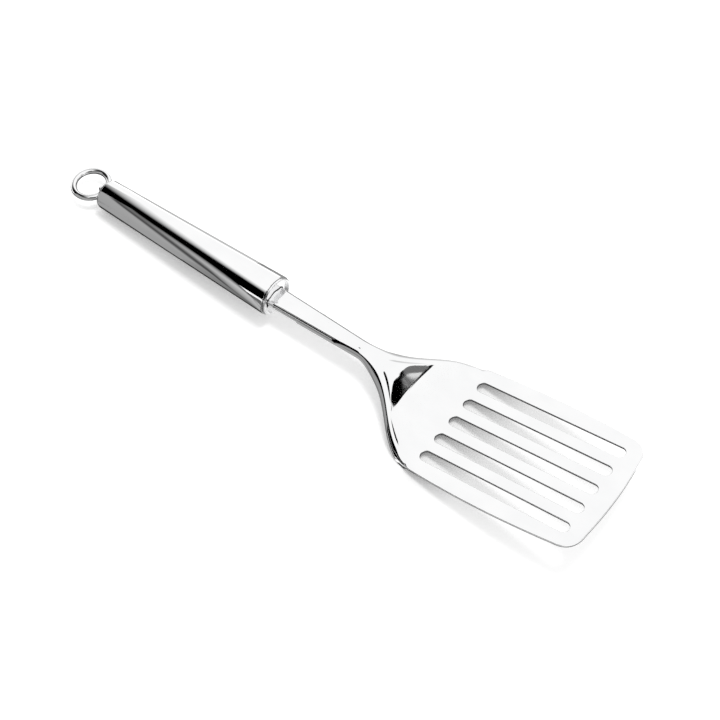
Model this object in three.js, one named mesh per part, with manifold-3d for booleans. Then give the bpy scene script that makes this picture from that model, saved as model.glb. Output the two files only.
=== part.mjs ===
// Slotted kitchen turner: a stamped head with its stem, a tapered hollow handle, two end caps and a hanging
// ring in its eye.
// Millimetres, +Z up, +X towards the blade's tip. The turner lies on a table as it comes to rest there: on
// the edges of its shoulder and on the rear end of its handle, with the tip raised. The origin is under its
// middle.
import * as THREE from 'three';
import { mergeVertices } from 'three/addons/utils/BufferGeometryUtils.js';
import Module from 'manifold-3d';

const wasm = await Module();
wasm.setup();

// Blade, measured from the middle of its slots, with its top face at z = 0
const SHEET = 1.5;                  // thickness of the stamped sheet
const BLADE_FRONT = 53.75;          // to the front edge
const BLADE_REAR = 47.2;            // to the line where the neck starts to rise
const BELLY_HALF_WIDTH = 37.5;      // at the widest place
const SHOULDER_HALF_WIDTH = 36;     // at the rear corners
const TIP_HALF_WIDTH = 35.4;        // where the front corners start
const CORNER_RUN = 12;              // front corner, along the blade
const CORNER_CUT = 12.5;            // front corner, across the blade
const FRONT_CROWN = 1.35;           // bulge of the front edge

// Slots
const SLOT_COUNT = 5;
const SLOT_PITCH = 12.6;
const SLOT_WIDTH = 6.2;
const SLOT_LENGTH = 87.6;           // from tip to tip

// Neck and stem: a channel, open below, with turned-down edges
const STEM_ANGLE = THREE.MathUtils.degToRad(10.55);
const NECK_REAR = 97;               // slot middle to the rear end of the neck
const NECK_RISE = 25.6;             // height of the stem's axis there, above the blade
const NECK_HALF_WIDTH = 4.9;        // at its narrowest, the rear end
const NECK_WAIST = 27;              // how far the narrow end runs forward before it flares
const NECK_FLARE = 20.5;            // how far the wide end runs back from the shoulder
const NECK_SPLAY = 4;               // how much narrower the wide end gets over that run
const NECK_DROP = 25.5;             // how far the stem's line runs forward before it dips
const NECK_TOE = 8.5;               // how far the blade's plane runs back from the shoulder
const STEM_LENGTH = 56.7;           // from the neck to the handle
const STEM_HALF_WIDTH = 6.4;        // at the handle
const STEM_DEPTH = 4.8;             // from the stem's top face to its turned-down edges
const STEM_CROWN = 2.1;             // top face above the stem's axis
const STEM_BOW = 0.25;              // arch of the stem's top face, as a share of its half width
const EDGE_RADIUS = 2.4;            // outside radius of the turned-down edges
const SHOULDER_DEPTH = 3;           // depth of the turned-down edges at the shoulder
const EDGE_RUNOUT = 2.4;            // length over which they end in the blade
const INNER_BEND = 0.05;            // smallest inside radius of a turned-down edge
const TANG_LENGTH = 26;             // the stem's end inside the handle

// Splayed edges of the neck, between the stem's upright ones and the shoulder's
const SPLAY_FULL = 80;              // slot middle to where they are fully splayed
const SPLAY_END = 56;               // slot middle to where they begin to rise again
const SPLAY_RADIUS = 7.5;           // outside radius of their bend
const SPLAY_TURN = THREE.MathUtils.degToRad(44);    // how far they are bent down
const SPLAY_INSET = 5.4;            // from the neck's outline in to where the bend starts

// Arch of the neck and the step where it ends, above the shoulder's slope
const ARCH_HEIGHT = 2.5;
const ARCH_POWER = 3;               // how square its section is
const ARCH_START = 85;              // slot middle to where the arch begins to swell
const ARCH_FULL = 69;               // slot middle to where it has its full height
const STEP_FOOT = 66.2;             // slot middle to the foot of the step
const STEP_CURVE = 1.3;             // how much further forward the foot's two ends lie
const STEP_RUN = 6.3;               // length of the step on the middle line
const STEP_END_RUN = 1;             // length of the step at its two ends
const STEP_POWER = 12;              // how square the step's upper edge is, seen from above

// Handle
const HANDLE_LENGTH = 121.5;
const HANDLE_FRONT_RADIUS = 11.5;
const HANDLE_REAR_RADIUS = 8.65;
const HANDLE_WALL = 1;

// End caps
const FIT_GAP = 0.3;                // clearance between pieces that sit in each other
const FRONT_RIM = 1.3;              // how far the front cap stands out of the tube
const FRONT_BEAD = 0.65;            // radius of the half-round bead on its rim
const FRONT_SINK = 0.3;             // how far its face lies inside the tube's end
const CAP_RIM = 1;                  // how far the rear cap stands out of the tube
const CAP_BEAD = 0.6;               // radius of the half-round bead on its rim
const CAP_INSET = 0.35;             // step from the tube's outside in to the cap's rim
const CAP_SKIRT = 6;                // length of a cap inside the tube
const CAP_WALL = 1.2;               // wall of a cap's skirt
const CAP_FACE = 2.2;               // thickness of a cap's face

// Hanging ring and its eye
const RING_RADIUS = 10;             // to the middle of the wire
const RING_WIRE = 3.4;              // wire diameter
const EYE_WIRE = 1.6;               // wire diameter of the staple
const EYE_REACH = 2.1;              // rear cap's bead to the middle of the ring's wire
const EYE_PLAY = 0.4;               // clearance round the ring's wire in the eye
const EYE_TAIL = 1;                 // how far the staple's legs stand out inside the cap

// Smoothness of the faceted solids
const ROUND_STEPS = 48;             // round a turned piece
const CURVE_STEPS = 10;             // along each curve of an outline
const NECK_STEPS = 26;              // sections along the neck
const TOP_STEPS = 16;               // points across the top of a section
const EDGE_STEPS = 4;               // points round a turned-down edge
const BEAD_STEPS = 8;               // points round a cap's bead
const RING_STEPS = 48;              // round the ring
const WIRE_STEPS = 12;              // round a wire
const EYE_STEPS = 24;               // along the staple
const HALVINGS = 40;                // when a place is searched for between two limits
const MERGE_GAP = 1e-5;             // corners of a mesh closer than this are one

// A closed geometry as a solid that can be cut and joined
function solidOf(geometry) {
  const bare = geometry.index ? geometry.toNonIndexed() : geometry.clone();
  bare.deleteAttribute('normal');
  bare.deleteAttribute('uv');
  const merged = mergeVertices(bare, MERGE_GAP);
  const corners = merged.index.array;
  const kept = [];
  for (let i = 0; i < corners.length; i += 3) {
    const [a, b, c] = [corners[i], corners[i + 1], corners[i + 2]];
    if (a !== b && b !== c && c !== a) kept.push(a, b, c);
  }
  return new wasm.Manifold(new wasm.Mesh({
    numProp: 3,
    vertProperties: new Float32Array(merged.attributes.position.array),
    triVerts: new Uint32Array(kept),
  }));
}

// A cut or joined solid as a geometry again
function geometryOf(solid) {
  const mesh = solid.getMesh();
  const geometry = new THREE.BufferGeometry();
  geometry.setAttribute('position', new THREE.BufferAttribute(mesh.vertProperties, 3));
  geometry.setIndex(new THREE.BufferAttribute(mesh.triVerts, 1));
  geometry.computeVertexNormals();
  return geometry;
}

// Closed sections, each with its way out along the outside and its way back along the inside in step with it,
// joined one to the next and closed at both ends
function loft(sections) {
  const count = sections[0].length;
  const positions = sections.flat().flatMap((point) => [point.x, point.y, point.z]);
  const index = [];
  const quad = (a, b, c, d) => index.push(a, b, c, a, c, d);
  for (let row = 0; row + 1 < sections.length; row++) {
    for (let i = 0; i < count; i++) {
      const a = row * count + i;
      const b = row * count + (i + 1) % count;
      quad(a, b, b + count, a + count);
    }
  }
  const last = (sections.length - 1) * count;
  for (let i = 0; i + 1 < count / 2; i++) {
    const across = count - 1 - i;
    quad(i, across, across - 1, i + 1);
    quad(last + i, last + i + 1, last + across - 1, last + across);
  }
  const geometry = new THREE.BufferGeometry();
  geometry.setAttribute('position', new THREE.Float32BufferAttribute(positions, 3));
  geometry.setIndex(index);
  return geometry;
}

// A profile of [x, radius] turned round the X axis
function turned(profile) {
  const points = profile.map(([x, radius]) => new THREE.Vector2(radius, x));
  const geometry = new THREE.LatheGeometry(points, ROUND_STEPS);
  geometry.rotateZ(-Math.PI / 2);
  return geometry;
}

// Steel finishes
function steel(color, roughness) {
  return new THREE.MeshStandardMaterial({ color, roughness, metalness: 1 });
}

function named(name, geometry, material) {
  const mesh = new THREE.Mesh(geometry, material);
  mesh.name = name;
  return mesh;
}

// An outline in the XY plane as a flat piece between two heights
function slab(outline, bottom, top) {
  const options = { depth: top - bottom, bevelEnabled: false, curveSegments: CURVE_STEPS };
  return new THREE.ExtrudeGeometry(outline, options).translate(0, 0, bottom);
}

// Blade: a flat plate with its top face at z = 0
function bladePlate() {
  const cornerX = BLADE_FRONT - FRONT_CROWN;
  const sideX = cornerX - CORNER_RUN;
  const cornerY = TIP_HALF_WIDTH - CORNER_CUT;
  const bellyX = (sideX - BLADE_REAR) / 2;
  const bellyY = 2 * BELLY_HALF_WIDTH - (SHOULDER_HALF_WIDTH + TIP_HALF_WIDTH) / 2;
  const outline = new THREE.Shape();
  outline.moveTo(-BLADE_REAR, -SHOULDER_HALF_WIDTH);
  outline.quadraticCurveTo(bellyX, -bellyY, sideX, -TIP_HALF_WIDTH);
  outline.quadraticCurveTo(cornerX, -TIP_HALF_WIDTH, cornerX, -cornerY);
  outline.quadraticCurveTo(cornerX + 2 * FRONT_CROWN, 0, cornerX, cornerY);
  outline.quadraticCurveTo(cornerX, TIP_HALF_WIDTH, sideX, TIP_HALF_WIDTH);
  outline.quadraticCurveTo(bellyX, bellyY, -BLADE_REAR, SHOULDER_HALF_WIDTH);
  outline.closePath();
  return solidOf(slab(outline, -SHEET, 0));
}

// Round-ended bars that cut the slots
function slotCutters() {
  const endX = SLOT_LENGTH / 2 - SLOT_WIDTH / 2;
  const bars = [];
  for (let i = 0; i < SLOT_COUNT; i++) {
    const y = (i - (SLOT_COUNT - 1) / 2) * SLOT_PITCH;
    const slot = new THREE.Shape();
    slot.absarc(endX, y, SLOT_WIDTH / 2, -Math.PI / 2, Math.PI / 2);
    slot.absarc(-endX, y, SLOT_WIDTH / 2, Math.PI / 2, 3 * Math.PI / 2);
    slot.closePath();
    bars.push(solidOf(slab(slot, -2 * SHEET, SHEET)));
  }
  return bars;
}

// Neck seen from above (x, half width) and from the side (x, height of the sheet's top face)
const neckPlan = new THREE.CubicBezierCurve(
  new THREE.Vector2(-NECK_REAR, NECK_HALF_WIDTH),
  new THREE.Vector2(-NECK_REAR + NECK_WAIST, NECK_HALF_WIDTH),
  new THREE.Vector2(-BLADE_REAR - NECK_FLARE, SHOULDER_HALF_WIDTH - NECK_SPLAY),
  new THREE.Vector2(-BLADE_REAR, SHOULDER_HALF_WIDTH),
);
const neckSide = new THREE.CubicBezierCurve(
  new THREE.Vector2(-NECK_REAR, NECK_RISE + STEM_CROWN),
  new THREE.Vector2(-NECK_REAR + NECK_DROP, NECK_RISE + STEM_CROWN - NECK_DROP * Math.tan(STEM_ANGLE)),
  new THREE.Vector2(-BLADE_REAR - NECK_TOE, 0),
  new THREE.Vector2(-BLADE_REAR, 0),
);

// A curve's second value where its first, which only grows, is x
function heightAt(curve, x) {
  let low = 0;
  let high = 1;
  for (let i = 0; i < HALVINGS; i++) {
    const middle = (low + high) / 2;
    if (curve.getPoint(middle).x < x) low = middle;
    else high = middle;
  }
  return curve.getPoint((low + high) / 2).y;
}

function ease(value) {
  return THREE.MathUtils.smoothstep(value, 0, 1);
}

// Height of the arch at x, for a share from -1 to 1 of the flat's half width
function archAt(x, share, flatHalf) {
  const swell = ease((x + ARCH_START) / (ARCH_START - ARCH_FULL));
  const flat = 1 - share * share;
  const arch = ARCH_HEIGHT * (1 - Math.abs(share) ** ARCH_POWER);
  const height = THREE.MathUtils.lerp(STEM_BOW * flatHalf * flat * flat, arch, swell);
  const run = Math.max(STEP_RUN * (1 - Math.abs(share) ** STEP_POWER), STEP_END_RUN);
  const foot = -STEP_FOOT + STEP_CURVE * share * share;
  const fall = THREE.MathUtils.clamp((x - foot + run) / run, 0, 1);
  return height * (1 - fall);
}

// Bend of the turned-down edges at x: its radius, how far it turns and where it starts
function edgeBend(x) {
  const rise = ease((x + NECK_REAR) / (NECK_REAR - SPLAY_FULL));
  const splay = rise * ease((-BLADE_REAR - x) / (SPLAY_END - BLADE_REAR));
  const share = splay * splay;
  return {
    radius: THREE.MathUtils.lerp(EDGE_RADIUS, SPLAY_RADIUS, share),
    bend: THREE.MathUtils.lerp(Math.PI / 2, SPLAY_TURN, splay),
    inset: THREE.MathUtils.lerp(EDGE_RADIUS, SPLAY_INSET, share),
  };
}

// One section of the channel: half width, height of the top face, depth of its edges, and their bend. grow
// makes the section larger on every side, for the slot that the stem passes through.
function channelSection({ x, half, top, depth, radius, bend, inset, grow = 0 }) {
  const outer = [];
  const inner = [];
  const sheet = SHEET + 2 * grow;
  const outerRadius = radius + grow;
  const innerRadius = Math.max(outerRadius - sheet, INNER_BEND);
  const centre = half - inset;
  for (let i = 0; i <= EDGE_STEPS; i++) {
    const turn = (1 - i / EDGE_STEPS) * bend;
    outer.push([centre + outerRadius * Math.sin(turn), outerRadius * (Math.cos(turn) - 1) + grow]);
    inner.push([centre + innerRadius * Math.sin(turn), innerRadius * Math.cos(turn) - outerRadius + grow]);
  }
  const foot = -depth - grow;
  const footOf = ([y, z]) => [y + (z - foot) / Math.tan(bend), foot];
  const place = ([y, z]) => new THREE.Vector3(x, y, top + z);
  const mirrored = (points) => points.map((point) => new THREE.Vector3(x, -point.y, point.z)).reverse();
  const right = [footOf(outer[0]), ...outer].map(place);
  const crown = [];
  const under = [];
  for (let i = 1; i < TOP_STEPS; i++) {
    const share = 1 - 2 * i / TOP_STEPS;
    const lift = archAt(x, share, centre);
    crown.push(place([share * centre, grow + lift]));
    under.push(place([-share * centre, grow - sheet + lift]));
  }
  const innerRight = [...inner.toReversed(), footOf(inner[0])].map(place);
  return [...right, ...crown, ...mirrored(right), ...mirrored(innerRight), ...under, ...innerRight];
}

// Height of the stem's axis above the blade at x
function axisHeight(x) {
  return NECK_RISE - (x + NECK_REAR) * Math.tan(STEM_ANGLE);
}

// Stem from the neck's rear end to the end of the tang, straight along the handle's axis
function stemSections(grow) {
  const handleX = -NECK_REAR - STEM_LENGTH * Math.cos(STEM_ANGLE);
  const tangX = handleX - TANG_LENGTH * Math.cos(STEM_ANGLE);
  const stations = [[tangX, STEM_HALF_WIDTH], [handleX, STEM_HALF_WIDTH], [-NECK_REAR, NECK_HALF_WIDTH]];
  return stations.map(([x, half]) => channelSection({
    x, half, top: axisHeight(x) + STEM_CROWN, depth: STEM_DEPTH, ...edgeBend(x), grow,
  }));
}

// Neck from its narrow rear end to just inside the blade, where its edges run out
function neckSections() {
  const sections = [];
  for (let i = 1; i <= NECK_STEPS; i++) {
    const share = i / NECK_STEPS;
    const x = -NECK_REAR + share * (NECK_REAR - BLADE_REAR);
    sections.push(channelSection({
      x,
      half: heightAt(neckPlan, x),
      top: heightAt(neckSide, x),
      depth: THREE.MathUtils.lerp(STEM_DEPTH, SHOULDER_DEPTH, share),
      ...edgeBend(x),
    }));
  }
  sections.push(channelSection({
    x: -BLADE_REAR + EDGE_RUNOUT,
    half: SHOULDER_HALF_WIDTH,
    top: 0,
    depth: SHEET + INNER_BEND,
    radius: SHEET + INNER_BEND,
    bend: Math.PI / 2,
    inset: SHEET + INNER_BEND,
  }));
  return sections;
}

const polished = steel(0xd9dadc, 0.08);
const brushed = steel(0xcfd0d2, 0.16);

// Head: blade, neck, stem and tang as one stamping
let stamping = solidOf(loft([...stemSections(0), ...neckSections()])).add(bladePlate());
for (const bar of slotCutters()) stamping = stamping.subtract(bar);
const head = named('turner_head', geometryOf(stamping), polished);

// Handle group: its origin is the middle of the tube's front end, +X forward along the handle's axis
const handle = new THREE.Group();
handle.position.set(
  -NECK_REAR - STEM_LENGTH * Math.cos(STEM_ANGLE),
  0,
  NECK_RISE + STEM_LENGTH * Math.sin(STEM_ANGLE),
);
handle.rotation.y = STEM_ANGLE;

const tube = named('handle_tube', turned([
  [0, HANDLE_FRONT_RADIUS],
  [0, HANDLE_FRONT_RADIUS - HANDLE_WALL],
  [-HANDLE_LENGTH, HANDLE_REAR_RADIUS - HANDLE_WALL],
  [-HANDLE_LENGTH, HANDLE_REAR_RADIUS],
  [0, HANDLE_FRONT_RADIUS],
]), polished);
handle.add(tube);

// A cap as a cup: its bead outside the tube, its skirt inside it. x grows out of the tube. edge runs from the
// face out to the rim's radius.
function capCup(face, edge, boreAtSkirt) {
  const rim = edge.at(-1)[1];
  const skirt = boreAtSkirt - FIT_GAP;
  const profile = [[face - CAP_FACE, 0], [face, 0], ...edge];
  profile.push([FIT_GAP, rim], [FIT_GAP, skirt], [-CAP_SKIRT, skirt], [-CAP_SKIRT, skirt - CAP_WALL]);
  profile.push([face - CAP_FACE, skirt - CAP_WALL], [face - CAP_FACE, 0]);
  return turned(profile.reverse());
}

// Points round a cap's bead, from its inside out to the rim
function beadEdge(tubeRadius, standsOut, bead) {
  const rim = tubeRadius - CAP_INSET;
  const edge = [];
  for (let i = BEAD_STEPS; i >= 0; i--) {
    const turn = (i / BEAD_STEPS) * Math.PI;
    edge.push([standsOut - bead + bead * Math.sin(turn), rim - bead * (1 - Math.cos(turn))]);
  }
  return edge;
}

// Front cap, with a slot of the stem's own section
const taper = (HANDLE_FRONT_RADIUS - HANDLE_REAR_RADIUS) / HANDLE_LENGTH;
const frontBore = HANDLE_FRONT_RADIUS - HANDLE_WALL - taper * CAP_SKIRT;
handle.updateMatrix();
const slotTool = loft(stemSections(FIT_GAP)).applyMatrix4(handle.matrix.clone().invert());
const frontBead = beadEdge(HANDLE_FRONT_RADIUS, FRONT_RIM, FRONT_BEAD);
const frontEdge = [[-FRONT_SINK, frontBead[0][1]], ...frontBead];
const frontCap = solidOf(capCup(-FRONT_SINK, frontEdge, frontBore)).subtract(solidOf(slotTool));
handle.add(named('front_cap', geometryOf(frontCap), brushed));

// Rear group: +X points out of the handle's rear end, its origin is the middle of that end
const rear = new THREE.Group();
rear.position.x = -HANDLE_LENGTH;
rear.rotation.y = Math.PI;
handle.add(rear);

// Staple: two legs through the rear cap and a half turn behind the ring's wire
const rearFace = CAP_RIM - CAP_BEAD;
const eyeRadius = RING_WIRE / 2 + EYE_PLAY + EYE_WIRE / 2;
const eyeX = CAP_RIM + EYE_REACH;
const legX = rearFace - CAP_FACE - EYE_TAIL;

function staple(wire) {
  const path = new THREE.CurvePath();
  const corner = (x, z) => new THREE.Vector3(x, 0, z);
  path.add(new THREE.LineCurve3(corner(legX, eyeRadius), corner(eyeX, eyeRadius)));
  path.add(new HalfTurn());
  path.add(new THREE.LineCurve3(corner(eyeX, -eyeRadius), corner(legX, -eyeRadius)));
  const section = new THREE.Shape();
  section.absarc(0, 0, wire / 2, 0, 2 * Math.PI);
  const options = { steps: EYE_STEPS, extrudePath: path, curveSegments: WIRE_STEPS / 2 };
  return new THREE.ExtrudeGeometry(section, options);
}

class HalfTurn extends THREE.Curve {
  getPoint(t, target = new THREE.Vector3()) {
    const turn = Math.PI / 2 - t * Math.PI;
    return target.set(eyeX + eyeRadius * Math.cos(turn), 0, eyeRadius * Math.sin(turn));
  }
}

const rearBore = HANDLE_REAR_RADIUS - HANDLE_WALL;
const eyeHoles = solidOf(staple(EYE_WIRE + 2 * FIT_GAP));
const rearBead = beadEdge(HANDLE_REAR_RADIUS, CAP_RIM, CAP_BEAD);
const rearCap = solidOf(capCup(rearFace, rearBead, rearBore)).subtract(eyeHoles);
rear.add(named('rear_cap', geometryOf(rearCap), brushed));
rear.add(named('ring_eye', staple(EYE_WIRE), brushed));

// Ring, threaded through the eye and lying in line with the handle
const ringShape = new THREE.TorusGeometry(RING_RADIUS, RING_WIRE / 2, WIRE_STEPS, RING_STEPS);
const ring = named('hanging_ring', ringShape, polished);
ring.position.x = eyeX + RING_RADIUS;
rear.add(ring);

// Tilt at which the head and the handle both touch the table
function lowest(object, tilt) {
  const point = new THREE.Vector3();
  let low = Infinity;
  object.updateWorldMatrix(true, true);
  object.traverse((item) => {
    if (!item.isMesh) return;
    const position = item.geometry.attributes.position;
    for (let i = 0; i < position.count; i++) {
      point.fromBufferAttribute(position, i).applyMatrix4(item.matrixWorld);
      low = Math.min(low, point.x * Math.sin(tilt) + point.z * Math.cos(tilt));
    }
  });
  return low;
}

function restTilt() {
  let low = 0;
  let high = Math.PI / 4;
  for (let i = 0; i < HALVINGS; i++) {
    const middle = (low + high) / 2;
    if (lowest(tube, middle) > lowest(head, middle)) low = middle;
    else high = middle;
  }
  return (low + high) / 2;
}

const turner = new THREE.Group();
turner.add(head, handle);
turner.rotation.y = -restTilt();
const box = new THREE.Box3().setFromObject(turner, true);
const middle = box.getCenter(new THREE.Vector3());
turner.position.set(-middle.x, -middle.y, -box.min.z);

const group = new THREE.Group();
group.add(turner);

export default group;
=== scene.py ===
"""Looks of the slotted turner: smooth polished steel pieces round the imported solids, on a pale floor."""
import math

import bmesh
import bpy
from mathutils import Matrix, Vector
from mathutils.geometry import tessellate_polygon


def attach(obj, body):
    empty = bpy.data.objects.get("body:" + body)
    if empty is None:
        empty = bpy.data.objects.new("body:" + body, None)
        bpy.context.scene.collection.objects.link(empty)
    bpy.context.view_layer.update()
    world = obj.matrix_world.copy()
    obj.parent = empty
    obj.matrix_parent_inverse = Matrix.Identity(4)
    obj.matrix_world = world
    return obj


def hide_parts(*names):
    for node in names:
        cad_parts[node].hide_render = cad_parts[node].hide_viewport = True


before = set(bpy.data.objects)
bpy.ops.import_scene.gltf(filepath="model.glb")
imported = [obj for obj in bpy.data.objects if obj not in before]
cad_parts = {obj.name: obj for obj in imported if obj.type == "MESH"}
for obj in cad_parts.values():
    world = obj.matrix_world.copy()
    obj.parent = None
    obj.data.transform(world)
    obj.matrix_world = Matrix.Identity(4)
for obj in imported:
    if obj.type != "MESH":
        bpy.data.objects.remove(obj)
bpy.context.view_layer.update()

MM = 0.001

# How the turner lies: place of the blade's slot middle, and the tilt that raises the tip
BLADE_AT = Vector((125.1946, 0, 13.8362))
TILT = math.radians(13.14434)

# Blade, measured from the middle of its slots, with its top face at z = 0
SHEET = 1.5
BLADE_FRONT = 53.75
BLADE_REAR = 47.2
BELLY_HALF_WIDTH = 37.5
SHOULDER_HALF_WIDTH = 36
TIP_HALF_WIDTH = 35.4
CORNER_RUN = 12
CORNER_CUT = 12.5
FRONT_CROWN = 1.35
EDGE_SOFT = 0.35            # rounding of the sheet's cut edges
EDGE_GUARD = 0.3            # flat border beside that rounding

# Slots
SLOT_COUNT = 5
SLOT_PITCH = 12.6
SLOT_WIDTH = 6.2
SLOT_LENGTH = 87.6

# Neck and stem
STEM_ANGLE = math.radians(10.55)
NECK_REAR = 97
NECK_RISE = 25.6
NECK_HALF_WIDTH = 4.9
NECK_WAIST = 27
NECK_FLARE = 20.5
NECK_SPLAY = 4
NECK_DROP = 25.5
NECK_TOE = 8.5
STEM_LENGTH = 56.7
STEM_HALF_WIDTH = 6.4
STEM_DEPTH = 4.8
STEM_CROWN = 2.1
STEM_BOW = 0.25             # share of the flat's half width
EDGE_RADIUS = 2.4
SHOULDER_DEPTH = 3
EDGE_RUNOUT = 2.4
INNER_BEND = 0.05
FOOT_SOFT = 0.25            # rounding of the turned-down edges' feet
TANG_LENGTH = 26

# Splayed edges of the neck
SPLAY_FULL = 80
SPLAY_END = 56
SPLAY_RADIUS = 7.5
SPLAY_TURN = math.radians(44)
SPLAY_INSET = 5.4

# Arch of the neck and the step where it ends
ARCH_HEIGHT = 2.5
ARCH_POWER = 3
ARCH_START = 85
ARCH_FULL = 69
STEP_FOOT = 66.2
STEP_CURVE = 1.3
STEP_RUN = 6.3
STEP_END_RUN = 1
STEP_POWER = 12
STEP_TOP_SOFT = 0.35        # half length of the rounding at the step's top
STEP_FOOT_SOFT = 0.6        # and at its foot

# Handle
HANDLE_LENGTH = 121.5
HANDLE_FRONT_RADIUS = 11.5
HANDLE_REAR_RADIUS = 8.65
HANDLE_WALL = 1
HANDLE_SOFT = 0.4           # rounding of the tube's ends

# End caps
FIT_GAP = 0.3
MOUTH_GAP = 0.6             # gap round the stem where it enters the front cap
FRONT_RIM = 1.3
FRONT_BEAD = 0.65
FRONT_SINK = 0.3
CAP_RIM = 1
CAP_BEAD = 0.6
CAP_INSET = 0.35
CAP_SKIRT = 6
CAP_WALL = 1.2
CAP_FACE = 2.2

# Hanging ring and its eye
RING_RADIUS = 10
RING_WIRE = 3.4
EYE_WIRE = 1.6
EYE_REACH = 2.1
EYE_PLAY = 0.4
EYE_TAIL = 1

# Smoothness
STEM_ROWS = 12
NECK_ROWS = 56
STEP_ROWS = 30
SHOULDER_ROWS = 36
TOP_COLUMNS = 64
EDGE_POINTS = 8
WALL_POINTS = 4             # down a cut edge's wall, as many as a turned-down edge has at its foot
CURVE_POINTS = 40
SLOT_END_POINTS = 24
TURN_POINTS = 160
TUBE_ROWS = 12
BEAD_POINTS = 16
BOW_POINTS = 16
SOFT_POINTS = 6
RING_POINTS = 144
WIRE_POINTS = 32
EYE_POINTS = 32
HALVINGS = 30
SHARP_ANGLE = math.radians(40)
CUT_PAST = 1                # how far the cutter stands out at both ends of its hole
WELD = 0.001                # points closer than this are one point after a cut

# Finishes: colours, ranges of roughness, lines per metre along each axis, and their depth in metres
STEEL_DARK = (0.94, 0.942, 0.946)
STEEL_LIGHT = (0.97, 0.971, 0.973)
STEEL_ROUGHNESS = (0.03, 0.07)
STEEL_RELIEF = 0.04
SATIN_DARK = (0.92, 0.92, 0.925)
SATIN_LIGHT = (0.96, 0.96, 0.963)
SATIN_ROUGHNESS = (0.16, 0.28)
SATIN_RELIEF = 0.1
CLOUD_SCALE = (60, 90, 90)
CLOUD_DETAIL = 3
SHEET_LINES = (40, 4000, 4000)
TUBE_LINES = (5000, 60, 60)
LINE_DETAIL = 2
LINE_DEPTH = 0.00002
NOISE_LOW = 0.35            # most of a noise's values lie between these
NOISE_HIGH = 0.65

# Light, in millimetres, and the cards that only reflections see
FLOOR_HALF = 2000
FLOOR_ROUGHNESS = 0.9
# The floor's whiteness and glow along x paint its shade: darker next to the handle and in front of the
# blade's shoulder, paler under the blade and round the ring
FLOOR_SHADE_ALONG = (             # places along x, how white the floor is there and how much it glows
    (-FLOOR_HALF, 0.7, 0.6),
    (-172, 0.7, 0.6),
    (-150, 0.98, 0.2),
    (-90, 0.98, 0.2),
    (-35, 0.85, 0.35),
    (30, 0.85, 0.35),
    (60, 0.9, 0.25),
    (78, 0.95, 0.1),
    (86, 0.95, 0.1),
    (110, 0.7, 0.5),
    (180, 0.5, 0.7),
    (FLOOR_HALF, 0.5, 0.7),
)
AMBIENT = 0.7
KEY_AT = Vector((74, 340, 1560))
KEY_AIM = Vector((20, 0, 0))
KEY_SIZE = 500
KEY_POWER = 9
FLAG_AT = Vector((-323, 203, 200))
FLAG_ALONG = Vector((0.503, -0.864, 0))
FLAG_ACROSS = Vector((-0.864, -0.503, 0))
FLAG_LENGTH = 1500
FLAG_WIDTH = 1300
FLAG_FADE_END = 100
FLAG_FADE = 65
SIDE_AT = Vector((-79.2, -29.3, 0))
SIDE_ALONG = Vector((-0.934, -0.356, 0))
SIDE_START = -50
SIDE_END = 240
SIDE_STATIONS = 40
SIDE_FOOT = -1
SIDE_GREY = (0.36, 0.38)
SIDE_BLACK = 0.07
SIDE_GLOW = (0.56, 0.17)                # of the light strip, before and after its fade
SIDE_FADE_START = -30
SIDE_FADE_RUN = 130
SIDE_DARK = (8.5, 0.2, 0.00245)         # heights along the card: at its zero, their slope and their bend
SIDE_DARK_START = (8.5, 0.45, 0)
SIDE_LIGHT = (18.5, 0.25, 0.0024)
SIDE_LIGHT_LOWEST = 17
SIDE_TOP = (26.2, 0.36, 0.0019)
FLOOR_CARD_Z = 0.3
STEM_FLAG_Z = 200
NECK_FLAG_X = 8
NECK_FLAG_GREY = 0.33
FAR_CARD_Y = 120
STEP_MIDDLE = Vector((53, 0, 14))       # the step's cards lie round a line of sight from here
STEP_VIEW = Vector((0.644, 0.435, 0.629)).normalized()
STEP_CARD_AWAY = 300
STEP_GREY = 0.16
STEP_PALE = 0.75

# Camera, in millimetres
CAMERA_AT = Vector((264.29, -314.1, 625.3))
CAMERA_AIM = Vector((23.04, 2.45, 0))
CAMERA_LENS = 70.27
CAMERA_SENSOR = 36
CAMERA_CLIP = 20            # metres

# Places of the head and the handle
blade_place = Matrix.Translation(BLADE_AT) @ Matrix.Rotation(-TILT, 4, "Y")
handle_at = Vector((
    -NECK_REAR - STEM_LENGTH * math.cos(STEM_ANGLE),
    0,
    NECK_RISE + STEM_LENGTH * math.sin(STEM_ANGLE),
))
handle_place = blade_place @ Matrix.Translation(handle_at) @ Matrix.Rotation(STEM_ANGLE, 4, "Y")
rear_place = handle_place @ Matrix.Translation((-HANDLE_LENGTH, 0, 0)) @ Matrix.Rotation(math.pi, 4, "Y")


def lerp(a, b, share):
    return a + (b - a) * share


def clamp(value):
    return min(max(value, 0.0), 1.0)


def ease(value):
    value = clamp(value)
    return value * value * (3 - 2 * value)


def new_object(name, points, faces, place):
    """A smooth mesh from points in millimetres in a piece's own frame."""
    mesh = bpy.data.meshes.new(name)
    mesh.from_pydata([place @ Vector(point) * MM for point in points], [], faces)
    shell = bmesh.new()
    shell.from_mesh(mesh)
    bmesh.ops.recalc_face_normals(shell, faces=shell.faces)
    shell.to_mesh(mesh)
    shell.free()
    mesh.shade_smooth()
    piece = bpy.data.objects.new(name, mesh)
    bpy.context.scene.collection.objects.link(piece)
    return piece


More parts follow.
